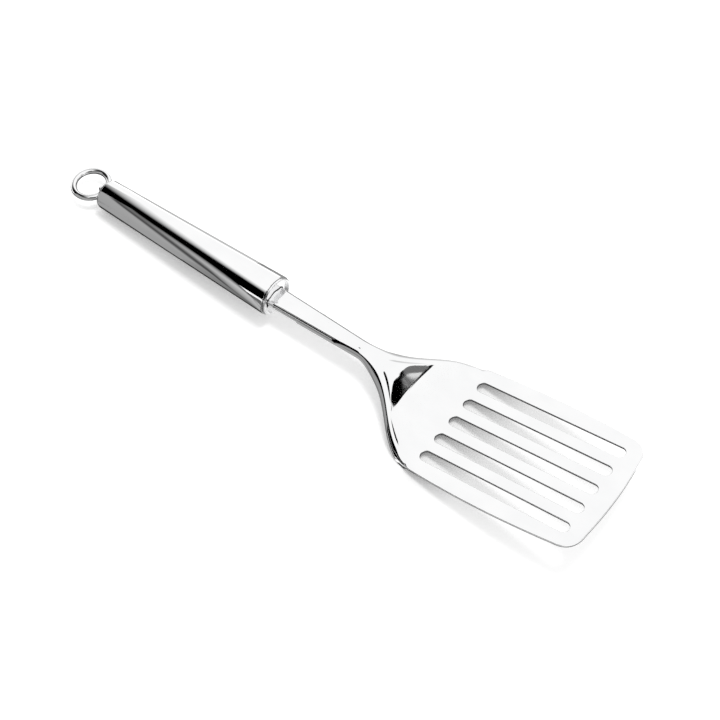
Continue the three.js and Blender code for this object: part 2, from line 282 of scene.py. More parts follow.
def turned(profile):
    """Points and faces of a profile of (x, radius) turned round the X axis.

    It closes on itself, or has its two ends on the axis."""
    on_axis = profile[0][1] == 0
    rings = profile[1:-1] if on_axis else profile
    points, faces = [], []
    size = len(rings)
    for i in range(TURN_POINTS):
        turn = 2 * math.pi * i / TURN_POINTS
        for x, radius in rings:
            points.append((x, radius * math.cos(turn), radius * math.sin(turn)))
    ends = [(profile[0][0], 0, 0), (profile[-1][0], 0, 0)] if on_axis else []
    first, last = len(points), len(points) + 1
    for i in range(TURN_POINTS):
        a, b = i * size, (i + 1) % TURN_POINTS * size
        for j in range(size - 1 if on_axis else size):
            k = (j + 1) % size
            faces.append((a + j, a + k, b + k, b + j))
        if on_axis:
            faces.append((first, a, b))
            faces.append((last, b + size - 1, a + size - 1))
    return points + ends, faces


# Head: outline of the blade, from the right shoulder round the front edge to the left shoulder
def quadratic(a, b, c, count):
    for i in range(count):
        t = i / count
        yield a * (1 - t) ** 2 + b * 2 * t * (1 - t) + c * t * t


def blade_outline():
    corner_x = BLADE_FRONT - FRONT_CROWN
    side_x = corner_x - CORNER_RUN
    corner_y = TIP_HALF_WIDTH - CORNER_CUT
    belly_x = (side_x - BLADE_REAR) / 2
    belly_y = 2 * BELLY_HALF_WIDTH - (SHOULDER_HALF_WIDTH + TIP_HALF_WIDTH) / 2
    shoulder = Vector((-BLADE_REAR, -SHOULDER_HALF_WIDTH))
    belly = Vector((belly_x, -belly_y))
    side = Vector((side_x, -TIP_HALF_WIDTH))
    turn = Vector((corner_x, -TIP_HALF_WIDTH))
    corner = Vector((corner_x, -corner_y))
    crown = Vector((corner_x + 2 * FRONT_CROWN, 0))
    half = [(shoulder, belly, side), (side, turn, corner)]
    front = (corner, crown, Vector((corner_x, corner_y)))
    other = [tuple(Vector((p.x, -p.y)) for p in reversed(curve)) for curve in reversed(half)]
    line = []
    for curve in [*half, front, *other]:
        line.extend(quadratic(*curve, CURVE_POINTS))
    line.append(Vector((-BLADE_REAR, SHOULDER_HALF_WIDTH)))
    return line


def inward_normals(line):
    normals = []
    for i in range(len(line)):
        along = line[min(i + 1, len(line) - 1)] - line[max(i - 1, 0)]
        normals.append(Vector((-along.y, along.x)).normalized())
    return normals


# Neck seen from above and from the side
def cubic(curve, t):
    a, b, c, d = curve
    s = 1 - t
    return tuple(
        a[i] * s ** 3 + 3 * b[i] * s * s * t + 3 * c[i] * s * t * t + d[i] * t ** 3
        for i in (0, 1)
    )


NECK_PLAN = (
    (-NECK_REAR, NECK_HALF_WIDTH),
    (-NECK_REAR + NECK_WAIST, NECK_HALF_WIDTH),
    (-BLADE_REAR - NECK_FLARE, SHOULDER_HALF_WIDTH - NECK_SPLAY),
    (-BLADE_REAR, SHOULDER_HALF_WIDTH),
)
NECK_SIDE = (
    (-NECK_REAR, NECK_RISE + STEM_CROWN),
    (-NECK_REAR + NECK_DROP, NECK_RISE + STEM_CROWN - NECK_DROP * math.tan(STEM_ANGLE)),
    (-BLADE_REAR - NECK_TOE, 0),
    (-BLADE_REAR, 0),
)


def height_at(curve, x):
    low, high = 0.0, 1.0
    for _ in range(HALVINGS):
        middle = (low + high) / 2
        if cubic(curve, middle)[0] < x:
            low = middle
        else:
            high = middle
    return cubic(curve, (low + high) / 2)[1]


def step_run(share):
    return max(STEP_RUN * (1 - abs(share) ** STEP_POWER), STEP_END_RUN)


def step_foot(share):
    return -STEP_FOOT + STEP_CURVE * share * share


def soft_ramp(t, start, end):
    """From 0 to 1 as t goes from 0 to 1, rounded over start and end on both sides of its two corners."""
    if t <= -start:
        return 0.0
    if t < start:
        return (t + start) ** 2 / (4 * start)
    if t <= 1 - end:
        return t
    if t < 1 + end:
        return 1 - (1 + end - t) ** 2 / (4 * end)
    return 1.0


def arch_at(x, share, flat_half):
    run = step_run(share)
    beyond = x - step_foot(share)
    flat = 1 - share * share
    swell = ease((x + ARCH_START) / (ARCH_START - ARCH_FULL))
    arch = ARCH_HEIGHT * (1 - abs(share) ** ARCH_POWER)
    height = lerp(STEM_BOW * flat_half * flat * flat, arch, swell)
    fall = soft_ramp(1 + beyond / run, STEP_TOP_SOFT / run, STEP_FOOT_SOFT / run)
    return height * (1 - fall)


# Edge profiles: how far in from the edge, and height. From the top face round the edge to the bottom face.
def edge_bend(x):
    """Bend of the turned-down edges at x: its radius, how far it turns and where it starts."""
    rise = ease((x + NECK_REAR) / (NECK_REAR - SPLAY_FULL))
    splay = rise * ease((-BLADE_REAR - x) / (SPLAY_END - BLADE_REAR))
    share = splay * splay
    return (
        lerp(EDGE_RADIUS, SPLAY_RADIUS, share),
        lerp(math.pi / 2, SPLAY_TURN, splay),
        lerp(EDGE_RADIUS, SPLAY_INSET, share),
    )


def turned_down(depth, x):
    radius, bend, inset = edge_bend(x)
    inside = radius - SHEET
    turns = [bend * i / EDGE_POINTS for i in range(EDGE_POINTS + 1)]
    outer = [(inset - radius * math.sin(turn), radius * (math.cos(turn) - 1)) for turn in turns]
    turns.reverse()
    inner = [(inset - inside * math.sin(turn), inside * math.cos(turn) - radius) for turn in turns]

    def wall(end, height):
        """Where the wall below the end of a bend has this height."""
        return end[0] - (end[1] - height) / math.tan(bend)

    soft = -depth + FOOT_SOFT
    feet = [
        (wall(outer[-1], soft), soft),
        (wall(outer[-1], -depth) + FOOT_SOFT, -depth),
        (wall(inner[0], -depth) - FOOT_SOFT, -depth),
        (wall(inner[0], soft), soft),
    ]
    return outer + feet + inner


def cut_edge(reach):
    """Edge of the flat sheet, with a flat border that runs in as far as reach."""
    top = [(reach, 0), (EDGE_SOFT + EDGE_GUARD, 0)]
    for i in range(EDGE_POINTS - 1):
        turn = math.pi / 2 * i / (EDGE_POINTS - 2)
        top.append((EDGE_SOFT * (1 - math.sin(turn)), EDGE_SOFT * (math.cos(turn) - 1)))
    wall = []
    for i in range(1, WALL_POINTS + 1):
        wall.append((0, lerp(-EDGE_SOFT, EDGE_SOFT - SHEET, i / (WALL_POINTS + 1))))
    bottom = [(inset, -SHEET - z) for inset, z in reversed(top)]
    return top + wall + bottom


def mixed(a, b, share):
    return [(lerp(p[0], q[0], share), lerp(p[1], q[1], share)) for p, q in zip(a, b)]


EDGE_COUNT = len(cut_edge(EDGE_RADIUS))


def head_row(x_at, half_at, top_at, edge, lift_at):
    """One closed row of points: crown, left edge, underside, right edge.

    x_at gives x for a share of the width."""
    shares = [1 - 2 * i / TOP_COLUMNS for i in range(1, TOP_COLUMNS)]

    def on_sheet(share, drop):
        x = x_at(share)
        flat_half = half_at(x) - edge_bend(x)[2]
        return (x, share * flat_half, top_at(x) + lift_at(x, share, flat_half) - drop)

    def on_edge(side):
        x = x_at(side)
        return [(x, side * (half_at(x) - inset), top_at(x) + z) for inset, z in edge]

    crown = [on_sheet(share, 0) for share in shares]
    under = [on_sheet(-share, SHEET) for share in shares]
    return crown + on_edge(-1) + under + on_edge(1)[::-1]


def head_rows():
    rows = []
    tan = math.tan(STEM_ANGLE)
    handle_x = handle_at.x
    tang_x = handle_x - TANG_LENGTH * math.cos(STEM_ANGLE)

    def stem_half(x):
        return lerp(STEM_HALF_WIDTH, NECK_HALF_WIDTH, clamp((x - handle_x) / (-NECK_REAR - handle_x)))

    def stem_top(x):
        return NECK_RISE - (x + NECK_REAR) * tan + STEM_CROWN

    for i in range(STEM_ROWS):
        x = tang_x if i == 0 else lerp(handle_x, -NECK_REAR, (i - 1) / (STEM_ROWS - 1))
        edge = turned_down(STEM_DEPTH, x)
        rows.append(head_row(lambda share, x=x: x, stem_half, stem_top, edge, arch_at))

    def neck_half(x):
        return height_at(NECK_PLAN, x)

    def neck_top(x):
        return height_at(NECK_SIDE, x)

    def step_start(share):
        return step_foot(share) - step_run(share) - STEP_TOP_SOFT

    def step_end(share):
        return step_foot(share) + STEP_FOOT_SOFT

    stages = [
        (NECK_ROWS, lambda share: -NECK_REAR, step_start),
        (STEP_ROWS, step_start, step_end),
        (SHOULDER_ROWS, step_end, lambda share: -BLADE_REAR),
    ]
    for count, start, end in stages:
        for i in range(count):
            t = i / count
            edge_x = lerp(start(1), end(1), t)
            depth = lerp(STEM_DEPTH, SHOULDER_DEPTH, (edge_x + NECK_REAR) / (NECK_REAR - BLADE_REAR))
            rows.append(head_row(
                lambda share, t=t, start=start, end=end: lerp(start(share), end(share), t),
                neck_half, neck_top, turned_down(depth, edge_x), arch_at,
            ))
    return rows


def head_mesh():
    rows = head_rows()
    outline = blade_outline()
    normals = inward_normals(outline)

    def outline_half(x):
        for a, b in zip(outline, outline[1:]):
            if a.x <= x <= b.x:
                return -lerp(a.y, b.y, (x - a.x) / (b.x - a.x))
        return SHOULDER_HALF_WIDTH

    def edge_at(x):
        runout = clamp((x + BLADE_REAR) / EDGE_RUNOUT)
        return mixed(turned_down(SHOULDER_DEPTH, x), cut_edge(EDGE_RADIUS), runout)

    for x in (-BLADE_REAR, -BLADE_REAR + EDGE_RUNOUT / 3):
        rows.append(head_row(lambda share, x=x: x, outline_half, lambda x: 0, edge_at(x), lambda *_: 0))
    points = [point for row in rows for point in row]
    count = len(rows[0])
    faces = []
    for r in range(len(rows) - 1):
        for i in range(count):
            a, b = r * count + i, r * count + (i + 1) % count
            faces.append((a, b, b + count, a + count))
    # Close the end of the tang
    inner = TOP_COLUMNS - 1
    loop = list(range(count))
    crown = loop[-1:] + loop[:inner] + loop[inner:inner + 1]
    under = loop[inner + EDGE_COUNT - 1:2 * inner + EDGE_COUNT + 1]
    for i in range(len(crown) - 1):
        faces.append((crown[i], crown[i + 1], under[-2 - i], under[-1 - i]))
    for start in (inner, 2 * inner + EDGE_COUNT):
        for i in range(EDGE_COUNT // 2 - 1):
            a, b = start + i, start + EDGE_COUNT - 1 - i
            faces.append((a, a + 1, b - 1, b))
    # Edge of the blade
    last = (len(rows) - 1) * count
    near = [last + inner + i for i in range(EDGE_COUNT)]
    far = [last + 2 * inner + 2 * EDGE_COUNT - 1 - i for i in range(EDGE_COUNT)]
    stations = [near]
    # The outline's own stations start a little beyond the last row
    first_x = rows[-1][0][0] + EDGE_RUNOUT / 6
    for point, normal in zip(outline, normals):
        if point.x <= first_x:
            continue
        station = []
        for inset, z in edge_at(point.x):
            place = point + normal * inset
            station.append(len(points))
            points.append((place.x, place.y, z))
        stations.append(station)
    stations.append(far)
    for a, b in zip(stations, stations[1:]):
        for i in range(EDGE_COUNT - 1):
            faces.append((a[i], a[i + 1], b[i + 1], b[i]))
    crown_ids = [last + i for i in range(inner)]
    under_ids = [last + inner + EDGE_COUNT + i for i in reversed(range(inner))]
    top_loops = [crown_ids + [station[0] for station in stations]]
    bottom_loops = [under_ids + [station[-1] for station in stations]]
    # Slots
    end_x = SLOT_LENGTH / 2 - SLOT_WIDTH / 2
    edge = cut_edge(EDGE_SOFT + 2 * EDGE_GUARD)
    for n in range(SLOT_COUNT):
        slot_y = (n - (SLOT_COUNT - 1) / 2) * SLOT_PITCH
        stations = []
        for side in (1, -1):
            for i in range(SLOT_END_POINTS + 1):
                turn = math.pi * (i / SLOT_END_POINTS - 0.5)
                out = Vector((side * math.cos(turn), side * math.sin(turn)))
                station = []
                for inset, z in edge:
                    reach = SLOT_WIDTH / 2 + inset
                    station.append(len(points))
                    points.append((side * end_x + out.x * reach, slot_y + out.y * reach, z))
                stations.append(station)
        for a, b in zip(stations, stations[1:] + stations[:1]):
            for i in range(EDGE_COUNT - 1):
                faces.append((b[i], b[i + 1], a[i + 1], a[i]))
        top_loops.append([s[0] for s in stations])
        bottom_loops.append([s[-1] for s in stations])
    for loops, up in ((top_loops, True), (bottom_loops, False)):
        ids = [i for loop_ids in loops for i in loop_ids]
        flat = [[Vector(points[i]) for i in loop_ids] for loop_ids in loops]
        for a, b, c in tessellate_polygon(flat):
            p, q, r = (Vector(points[ids[k]]) for k in (a, b, c))
            rising = (q - p).cross(r - p).z > 0
            corners = (ids[a], ids[b], ids[c])
            faces.append(corners if rising == up else corners[::-1])
    return points, faces


def channel_line(grow):
    """Line across the stem's top from edge to edge: (y, height over its flat top), moved out by grow."""
    centre = STEM_HALF_WIDTH - EDGE_RADIUS
    bend = max(EDGE_RADIUS + grow, INNER_BEND)
    right = []
    for i in range(EDGE_POINTS + 1):
        turn = math.pi / 2 * i / EDGE_POINTS
        right.append((centre + bend * math.cos(turn), bend * (math.sin(turn) - 1)))
    crown = []
    for i in range(1, BOW_POINTS):
        share = 1 - 2 * i / BOW_POINTS
        crown.append((share * centre, STEM_BOW * centre * (1 - share * share) ** 2))
    return right + crown + [(-y, z) for y, z in reversed(right)]


def channel_cutter(grow):
    """A closed bar of the stem's section, larger by grow, for the hole in the front cap."""
    top = STEM_CROWN + grow
    sheet = SHEET + 2 * grow
    foot = STEM_CROWN - STEM_DEPTH - grow
    outer = [(y, top + z) for y, z in channel_line(grow)]
    inner = [(y, top - sheet + z) for y, z in channel_line(grow - sheet)]
    section = [(outer[0][0], foot), *outer, (outer[-1][0], foot)]
    section += [(inner[-1][0], foot), *inner[::-1], (inner[0][0], foot)]
    points = [(x, y, z) for x in (-CAP_SKIRT - CUT_PAST, FRONT_RIM + CUT_PAST) for y, z in section]
    count = len(section)
    faces = [(i, (i + 1) % count, count + (i + 1) % count, count + i) for i in range(count)]
    faces += [tuple(range(count))[::-1], tuple(range(count, 2 * count))]
    return points, faces


def cut(piece, cutter):
    """Cut a hole of the cutter's shape, and remove the cutter."""
    knife = piece.modifiers.new("cut", "BOOLEAN")
    knife.operation = "DIFFERENCE"
    knife.solver = "EXACT"
    knife.object = cutter
    seen = piece.evaluated_get(bpy.context.evaluated_depsgraph_get())
    mesh = bpy.data.meshes.new_from_object(seen)
    shell = bmesh.new()
    shell.from_mesh(mesh)
    bmesh.ops.remove_doubles(shell, verts=shell.verts, dist=WELD * MM)
    shell.to_mesh(mesh)
    shell.free()
    piece.modifiers.clear()
    piece.data = mesh
    bpy.data.objects.remove(cutter)


def tube_profile():
    def soft_end(x, outer, way):
        """Round an end's two corners. way is +1 at the front end."""
        wall = outer - HANDLE_WALL
        side = []
        for i in range(SOFT_POINTS + 1):
            turn = math.pi / 2 * i / SOFT_POINTS
            back = way * HANDLE_SOFT * (1 - math.sin(turn))
            side.append((x - back, outer - HANDLE_SOFT * (1 - math.cos(turn))))
        return side + [(x, wall + FIT_GAP), (x - way * FIT_GAP, wall)]

    front = soft_end(0, HANDLE_FRONT_RADIUS, 1)
    rear = soft_end(-HANDLE_LENGTH, HANDLE_REAR_RADIUS, -1)
    guard = EDGE_GUARD / HANDLE_LENGTH
    shares = [guard, *(i / TUBE_ROWS for i in range(1, TUBE_ROWS)), 1 - guard]
    outer = []
    for share in shares:
        outer.append((lerp(rear[0][0], front[0][0], share), lerp(rear[0][1], front[0][1], share)))
    return (rear[::-1] + outer + front)[::-1]


def bead_edge(tube_radius, stands_out, bead):
    """Points round a cap's bead, from its inside out to the rim."""
    rim = tube_radius - CAP_INSET
    edge = []
    for i in range(BEAD_POINTS, -1, -1):
        turn = math.pi * i / BEAD_POINTS
        edge.append((stands_out - bead + bead * math.sin(turn), rim - bead * (1 - math.cos(turn))))
    return edge


def cap_profile(face, edge, bore):
    """From the middle of the face out over the edge, along the skirt and back to the axis."""
    rim = edge[-1][1]
    skirt = bore - FIT_GAP
    inside = skirt - CAP_WALL
    back = face - CAP_FACE
    outside = [(FIT_GAP, rim), (FIT_GAP, skirt), (-CAP_SKIRT, skirt)]
    return [(face, 0), *edge, *outside, (-CAP_SKIRT, inside), (back, inside), (back, 0)]


def eye_mesh():
    wire = EYE_WIRE / 2
    radius = RING_WIRE / 2 + EYE_PLAY + wire
    eye_x = CAP_RIM + EYE_REACH
    leg_x = CAP_RIM - CAP_BEAD - CAP_FACE - EYE_TAIL
    path = [(leg_x, radius, 0.0)]
    for i in range(EYE_POINTS + 1):
        turn = math.pi / 2 - math.pi * i / EYE_POINTS
        path.append((eye_x + radius * math.cos(turn), radius * math.sin(turn), math.pi / 2 - turn))
    path.append((leg_x, -radius, math.pi))
    points, faces = [], []
    for x, z, turn in path:
        for k in range(WIRE_POINTS):
            around = 2 * math.pi * k / WIRE_POINTS
            out = wire * math.cos(around)
            points.append((x + out * math.sin(turn), wire * math.sin(around), z + out * math.cos(turn)))
    for r in range(len(path) - 1):
        for k in range(WIRE_POINTS):
            a, b = r * WIRE_POINTS + k, r * WIRE_POINTS + (k + 1) % WIRE_POINTS
            faces.append((a, a + WIRE_POINTS, b + WIRE_POINTS, b))
    end = (len(path) - 1) * WIRE_POINTS
    faces.append(tuple(range(WIRE_POINTS)))
    faces.append(tuple(range(end, end + WIRE_POINTS))[::-1])
    return points, faces


def ring_mesh():
    points, faces = [], []
    wire = RING_WIRE / 2
    middle = CAP_RIM + EYE_REACH + RING_RADIUS
    for i in range(RING_POINTS):
        turn = 2 * math.pi * i / RING_POINTS
        for k in range(WIRE_POINTS):
            around = 2 * math.pi * k / WIRE_POINTS
            reach = RING_RADIUS + wire * math.cos(around)
            z = wire * math.sin(around)
            points.append((middle + reach * math.cos(turn), reach * math.sin(turn), z))
    for i in range(RING_POINTS):
        for k in range(WIRE_POINTS):
            a, b = i * WIRE_POINTS, (i + 1) % RING_POINTS * WIRE_POINTS
            j = (k + 1) % WIRE_POINTS
            faces.append((a + k, b + k, b + j, a + j))
    return points, faces


# Pieces
head = new_object("turner_head_steel", *head_mesh(), blade_place)
tube = new_object("handle_tube_steel", *turned(tube_profile()), handle_place)
taper = (HANDLE_FRONT_RADIUS - HANDLE_REAR_RADIUS) / HANDLE_LENGTH
front_bore = HANDLE_FRONT_RADIUS - HANDLE_WALL - taper * CAP_SKIRT
rear_bore = HANDLE_REAR_RADIUS - HANDLE_WALL
front_bead = bead_edge(HANDLE_FRONT_RADIUS, FRONT_RIM, FRONT_BEAD)
front_edge = [(-FRONT_SINK, front_bead[0][1]), *front_bead]
rear_bead = bead_edge(HANDLE_REAR_RADIUS, CAP_RIM, CAP_BEAD)
front_profile = cap_profile(-FRONT_SINK, front_edge, front_bore)
rear_profile = cap_profile(CAP_RIM - CAP_BEAD, rear_bead, rear_bore)
front_cap = new_object("front_cap_steel", *turned(front_profile), handle_place)
rear_cap = new_object("rear_cap_steel", *turned(rear_profile), rear_place)
cut(front_cap, new_object("stem_hole", *channel_cutter(MOUTH_GAP), handle_place))
eye = new_object("ring_eye_wire", *eye_mesh(), rear_place)
ring = new_object("hanging_ring_wire", *ring_mesh(), rear_place)

for piece, node, body, slot in (
    (head, "turner_head", "turner", "polished_steel"),
    (tube, "handle_tube", "turner", "polished_steel"),
    (front_cap, "front_cap", "turner", "satin_steel"),
    (rear_cap, "rear_cap", "turner", "satin_steel"),
    (eye, "ring_eye", "turner", "satin_steel"),
    (ring, "hanging_ring", "ring", "polished_steel"),
):
    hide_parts(node)
    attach(piece, body)
for piece in (tube, front_cap, rear_cap):
    piece.data.set_sharp_from_angle(angle=SHARP_ANGLE)


# Materials
def add_node(tree, kind, **values):
    node = tree.nodes.new(kind)
    for name, value in values.items():
        if hasattr(node, name):
            setattr(node, name, value)
        else:
            node.inputs[name.replace("_", " ")].default_value = value
    return node


def grain(tree, scale, detail):
    """Noise in the piece's own frame, stretched by a different scale along each axis."""
    place = tree.nodes.new("ShaderNodeTexCoord")
    stretch = add_node(tree, "ShaderNodeMapping")
    stretch.inputs["Scale"].default_value = scale
    noise = add_node(tree, "ShaderNodeTexNoise", Scale=1.0, Detail=detail)
    tree.links.new(place.outputs["Object"], stretch.inputs["Vector"])
    tree.links.new(stretch.outputs["Vector"], noise.inputs["Vector"])
    return noise.outputs["Fac"]


def spread(tree, source, low, high):
    """Map noise to a range of values."""
    remap = tree.nodes.new("ShaderNodeMapRange")
    remap.inputs["From Min"].default_value = NOISE_LOW
    remap.inputs["From Max"].default_value = NOISE_HIGH
    remap.inputs["To Min"].default_value = low
    remap.inputs["To Max"].default_value = high
    tree.links.new(source, remap.inputs["Value"])
    return remap.outputs["Result"]


def steel(name, dark, light, roughness, lines, relief):
    """Steel with a cloudy tint, uneven gloss and fine finishing lines."""
    smooth, rough = roughness
    material = bpy.data.materials.new(name)
    material.use_nodes = True
    tree = material.node_tree
    shader = tree.nodes["Principled BSDF"]
    shader.inputs["Metallic"].default_value = 1
    clouds = grain(tree, CLOUD_SCALE, CLOUD_DETAIL)
    # A colour mix: input 0 is its share, 6 and 7 are its colours, and output 2 is the mixed colour
    tint = tree.nodes.new("ShaderNodeMix")
    tint.data_type = "RGBA"
    tint.inputs[6].default_value = (*dark, 1)
    tint.inputs[7].default_value = (*light, 1)
    tree.links.new(spread(tree, clouds, 0, 1), tint.inputs[0])
    tree.links.new(tint.outputs[2], shader.inputs["Base Color"])
    streaks = grain(tree, lines, LINE_DETAIL)
    gloss = tree.nodes.new("ShaderNodeMath")
    gloss.operation = "ADD"
    tree.links.new(spread(tree, streaks, smooth, (smooth + rough) / 2), gloss.inputs[0])
    tree.links.new(spread(tree, clouds, 0, (rough - smooth) / 2), gloss.inputs[1])
    tree.links.new(gloss.outputs[0], shader.inputs["Roughness"])
    bump = tree.nodes.new("ShaderNodeBump")
    bump.inputs["Strength"].default_value = relief
    bump.inputs["Distance"].default_value = LINE_DEPTH
    tree.links.new(streaks, bump.inputs["Height"])
    tree.links.new(bump.outputs["Normal"], shader.inputs["Normal"])
    return material


polished = (STEEL_DARK, STEEL_LIGHT, STEEL_ROUGHNESS)
polished_sheet = steel("polished_sheet", *polished, SHEET_LINES, STEEL_RELIEF)
polished_tube = steel("polished_tube", *polished, TUBE_LINES, STEEL_RELIEF)
satin = steel("satin_turned", SATIN_DARK, SATIN_LIGHT, SATIN_ROUGHNESS, TUBE_LINES, SATIN_RELIEF)
for piece, material in (
    (head, polished_sheet), (tube, polished_tube), (ring, polished_tube),
    (front_cap, satin), (rear_cap, satin), (eye, satin),
):
    piece.data.materials.append(material)


# Stage: cards that only reflections see, floor, key lamp and world
def stage_object(name, points, faces):
    mesh = bpy.data.meshes.new(name)
    mesh.from_pydata([Vector(point) * MM for point in points], [], faces)
    thing = bpy.data.objects.new(name, mesh)
    bpy.context.scene.collection.objects.link(thing)
    return thing


def is_seen(tree):
    """1 for what the camera sees, straight or by reflection or through glass."""
    path = tree.nodes.new("ShaderNodeLightPath")
    seen = path.outputs["Is Camera Ray"]
    for name in ("Is Glossy Ray", "Is Transmission Ray"):
        either = tree.nodes.new("ShaderNodeMath")
        either.operation = "MAXIMUM"
        tree.links.new(seen, either.inputs[0])
        tree.links.new(path.outputs[name], either.inputs[1])
        seen = either.outputs[0]
    return seen


def card_material():
    """Plain glow of a card: its attribute glow is the level, and veil how solid it is."""
    material = bpy.data.materials.new("card")
    material.use_nodes = True
    tree = material.node_tree
    tree.nodes.clear()
    glow = add_node(tree, "ShaderNodeAttribute", attribute_name="glow")
    veil = add_node(tree, "ShaderNodeAttribute", attribute_name="veil")
    light = tree.nodes.new("ShaderNodeEmission")
    clear = tree.nodes.new("ShaderNodeBsdfTransparent")
    mix = tree.nodes.new("ShaderNodeMixShader")
    output = tree.nodes.new("ShaderNodeOutputMaterial")
    tree.links.new(glow.outputs["Fac"], light.inputs["Strength"])
    tree.links.new(veil.outputs["Fac"], mix.inputs["Fac"])
    tree.links.new(clear.outputs[0], mix.inputs[1])
    tree.links.new(light.outputs[0], mix.inputs[2])
    tree.links.new(mix.outputs[0], output.inputs["Surface"])
    return material


CARD = card_material()


def graded(name, rows):
    """A sheet of the stage from rows of (place, glow, veil)."""
    points = [place for row in rows for place, glow, veil in row]
    width = len(rows[0])
    faces = []
    for r in range(len(rows) - 1):
        for i in range(width - 1):
            a = r * width + i
            faces.append((a, a + 1, a + width + 1, a + width))
    thing = stage_object(name, points, faces)
    for label, index in (("glow", 1), ("veil", 2)):
        values = thing.data.attributes.new(label, "FLOAT", "POINT")
        values.data.foreach_set("value", [vertex[index] for row in rows for vertex in row])
    return thing


def card(name, rows):
    """A sheet that is seen in reflections only."""
    thing = graded(name, rows)
    thing.data.materials.append(CARD)
    thing.visible_camera = False
    thing.visible_diffuse = False
    thing.visible_shadow = False
    thing.visible_transmission = False


# Dark flag at the left, above the handle, with soft edges
rows = []
for t, shown in ((0, 0), (FLAG_FADE_END, 1), (FLAG_LENGTH, 1)):
    row = []
    for p, solid in ((0, 0), (FLAG_FADE, 1), (FLAG_WIDTH, 1)):
        row.append((FLAG_AT + FLAG_ALONG * t + FLAG_ACROSS * p, 0.0, float(shown * solid)))
    rows.append(row)
card("flag_left", rows)


# Upright card beside the handle: grey below a thin dark line, then a light strip
def curve_at(terms, a):
    return terms[0] + terms[1] * a + terms[2] * a * a


rows = []
for i in range(SIDE_STATIONS + 1):
    a = lerp(SIDE_START, SIDE_END, i / SIDE_STATIONS)
    dark_z = curve_at(SIDE_DARK if a > 0 else SIDE_DARK_START, a)
    light_z = max(curve_at(SIDE_LIGHT, a), SIDE_LIGHT_LOWEST)
    top_z = curve_at(SIDE_TOP, a)
    glow = lerp(*SIDE_GLOW, clamp((a - SIDE_FADE_START) / SIDE_FADE_RUN))
    levels = [(SIDE_FOOT, SIDE_GREY[0]), (dark_z - 13, SIDE_GREY[1])]
    levels += [(dark_z - 3, SIDE_BLACK), (dark_z + 1, SIDE_BLACK)]
    levels += [(light_z, glow), (lerp(light_z, top_z, 0.6), glow * 0.8), (top_z + 3, 0.0)]
    row = []
    for z, level in levels:
        row.append((SIDE_AT + SIDE_ALONG * a + Vector((0, 0, max(z, SIDE_FOOT))), level, 1.0))
    rows.append(row)
card("card_side", rows)


# Cards on the floor, seen only in reflections: painted reflections of a greyer floor, with painted shade
# darkest next to the handle and under the blade; they darken the edges that look down on it
def floor_card(name, *lines):
    """Each line runs along x: its y, its two ends and its levels at these ends."""
    rows = []
    for y, ends, levels in lines:
        rows.append([(Vector((x, y, FLOOR_CARD_Z)), level, 1.0) for x, level in zip(ends, levels)])
    card(name, rows)


# Levels of the painted shade beside the handle: darkest next to it, where it meets the floor
REAR, FRONT = (-175, -95), (-95, -34)
DARK, REAR_GREY, FRONT_GREY = (0.04, 0.04), (0.36, 0.34), (0.3, 0.11)
floor_card(
    "card_floor_handle_rear",
    (-3, REAR, DARK),
    (-11.5, REAR, DARK),
    (-13, REAR, REAR_GREY),
    (-20, REAR, REAR_GREY),
    (-60, (-240, -95), REAR_GREY),
    (-110, (-300, -95), REAR_GREY),
)
floor_card(
    "card_floor_handle_front",
    (-3, FRONT, DARK),
    (-12.5, FRONT, DARK),
    (-14, FRONT, FRONT_GREY),
    (-60, FRONT, FRONT_GREY),
)
FAR = (-165, -40)
floor_card("card_floor_handle_far", (3, FAR, (0.25, 0.25)), (30, FAR, (0.45, 0.45)), (120, FAR, (0.9, 0.9)))
floor_card(
    "card_floor_stem",
    (0, (-16, 75), (0.4, 0.4)), (-8, (-18, 75), (0.4, 0.4)), (-9, (-33, 75), (0.4, 0.4)),
    (-16, (-33, 75), (0.35, 0.35)), (-30, (-33, 75), (0.2, 0.2)), (-59.5, (-33, 60), (0.15, 0.15)),
    (-60.5, (-80, 60), (0.15, 0.15)), (-400, (-260, 0), (0.1, 0.1)),
)
floor_card(
    "card_floor_stem_far",
    (10, (-5, 78), (0.05, 0.8)), (26, (-15, 78), (0.05, 0.8)), (28, (-60, 78), (0.05, 0.8)),
    (119, (-110, 78), (0.3, 0.8)),
)
# Painted shade under the blade and round it, seen in its edges and in the slots' walls
UNDER = (75, 182)
floor_card("card_floor_blade", (-38, UNDER, (0.06, 0.06)), (38, UNDER, (0.06, 0.06)))
floor_card("card_floor_blade_near", (-70, UNDER, (0.3, 0.3)), (-38, UNDER, (0.3, 0.3)))
floor_card("card_floor_blade_front", (-70, (182, 215), (0.3, 0.3)), (38, (182, 215), (0.3, 0.3)))
floor_card("card_floor_blade_far", (38, UNDER, (0.5, 0.5)), (110, UNDER, (0.5, 0.5)))
floor_card("card_floor_ring", (-40, (-200, -165), (0.1, 0.1)), (40, (-200, -165), (0.1, 0.1)))

# Dark flags close to the stem and the neck
rows = []
for y in (-95, -500):
    rows.append([(Vector((x, y, STEM_FLAG_Z)), 0.0, 1.0) for x in (-130, 160)])
card("flag_stem", rows)
rows = []
for y, grey_to in ((-11, 3), (-20, 8), (-26, 15), (-35, 33), (-50, 45), (-75, 58)):
    levels = ((2, NECK_FLAG_GREY), (grey_to - 1, NECK_FLAG_GREY), (grey_to + 3, 0.0), (64, 0.0))
    rows.append([(Vector((NECK_FLAG_X, y, z)), level, 1.0) for z, level in levels])
card("flag_neck", rows)

# Upright card beyond the stem, for the line along its far edge
far_levels = ((-85, 0.12), (-20, 0.2), (0, 0.7), (40, 0.8))
rows = []
for z, solid in ((0, 1.0), (30, 1.0), (50, 0.0)):
    rows.append([(Vector((x, FAR_CARD_Y, z)), level, solid) for x, level in far_levels])
card("card_far", rows)

# Cards for the neck's step: a black one, a corner for the line at the foot, a grey and a pale patch
step_u = Vector((0, 0, 1)).cross(STEP_VIEW).normalized()
step_w = STEP_VIEW.cross(step_u)


